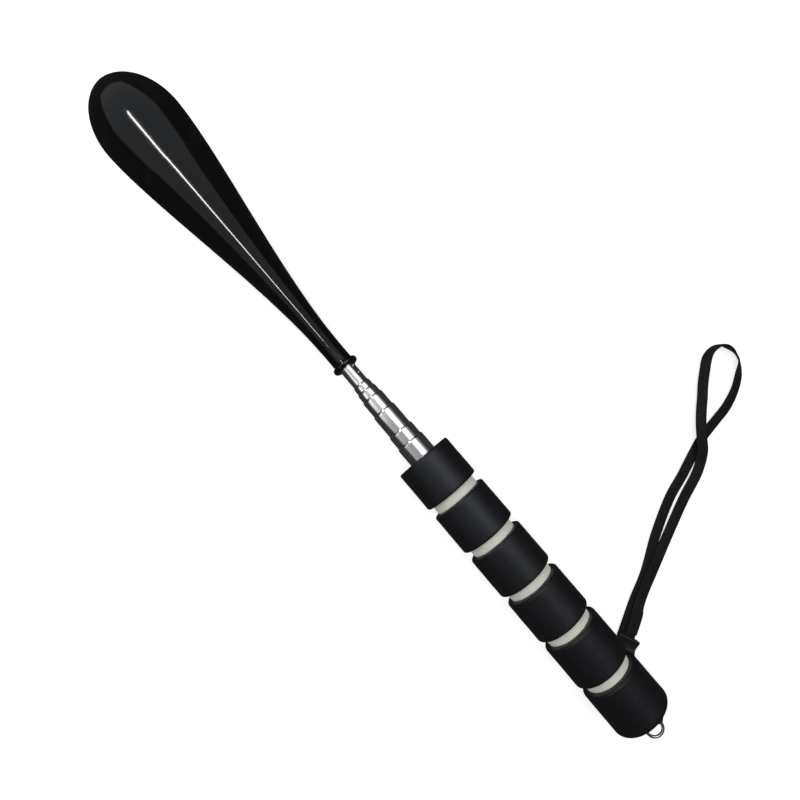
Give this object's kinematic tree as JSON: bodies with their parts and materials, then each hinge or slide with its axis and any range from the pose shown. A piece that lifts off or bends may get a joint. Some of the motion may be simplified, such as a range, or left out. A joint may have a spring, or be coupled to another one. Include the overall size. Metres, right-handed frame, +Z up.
{
  "type": "extending shoe horn",
  "caption": "Telescopic shoe horn with a glossy moulded blade, nested steel tubes, a foam grip with recessed glow rings, a tail loop and a wrist strap.",
  "frame": {"origin": "on the surface the part lies on, below the middle of its length at rest, measured without the free strap", "axes": "+X from the grip along the tubes to the blade's tip, +Z up from the surface, the blade's hollow side faces -Z"},
  "size_m": [0.4066, 0.1655, 0.027],
  "materials": {
    "blade_gloss": "injection-moulded high-gloss black",
    "plug_steel": "plain turned steel",
    "tube_steel": "polished stainless tube",
    "clip_bronze": "rolled spring bronze",
    "foam": "matte closed-cell foam",
    "glow": "pale phosphorescent rubber",
    "black_plastic": "moulded satin black",
    "loop_steel": "bright bent wire",
    "strap": "woven nylon ribbon and braided cord"
  },
  "bodies": {
    "handle": {"base_tube": "tube_steel", "grip_sleeve_1": "foam", "grip_sleeve_2": "foam", "grip_sleeve_3": "foam", "grip_sleeve_4": "foam", "grip_sleeve_5": "foam", "glow_ring_1": "glow", "glow_ring_2": "glow", "glow_ring_3": "glow", "glow_ring_4": "glow", "glow_ring_5": "glow", "grip_end": "foam", "tail_plug": "black_plastic", "hanging_loop": "loop_steel", "strap_cord": "strap", "strap_clamp": "black_plastic", "strap_ribbon": "strap"},
    "stage_6": {"tube_6": "tube_steel", "clip_6": "clip_bronze"},
    "stage_5": {"tube_5": "tube_steel", "clip_5": "clip_bronze"},
    "stage_4": {"tube_4": "tube_steel", "clip_4": "clip_bronze"},
    "stage_3": {"tube_3": "tube_steel", "clip_3": "clip_bronze"},
    "stage_2": {"tube_2": "tube_steel", "clip_2": "clip_bronze"},
    "carrier": {"clip_1": "clip_bronze"},
    "stage_1": {"tube_1": "tube_steel", "blade_plug": "plug_steel", "blade": "blade_gloss", "blade_neck": "blade_gloss"}
  },
  "joints": [
    {"name": "slide_6", "type": "slide", "parent": "handle", "child": "stage_6", "axis": [1, 0, 0], "range_m": [-0.0025, 0.0665]},
    {"name": "slide_5", "type": "slide", "parent": "stage_6", "child": "stage_5", "axis": [1, 0, 0], "range_m": [-0.0075, 0.0665]},
    {"name": "slide_4", "type": "slide", "parent": "stage_5", "child": "stage_4", "axis": [1, 0, 0], "range_m": [-0.004, 0.0665]},
    {"name": "slide_3", "type": "slide", "parent": "stage_4", "child": "stage_3", "axis": [1, 0, 0], "range_m": [0, 0.0665]},
    {"name": "slide_2", "type": "slide", "parent": "stage_3", "child": "stage_2", "axis": [1, 0, 0], "range_m": [0, 0.0665]},
    {"name": "slide_1", "type": "slide", "parent": "stage_2", "child": "carrier", "axis": [1, 0, 0], "range_m": [0, 0.0665]},
    {"name": "blade_turn", "type": "hinge", "parent": "carrier", "child": "stage_1", "pos_m": [0, 0, 0.0135], "axis": [1, 0, 0], "continuous": true}
  ]
}
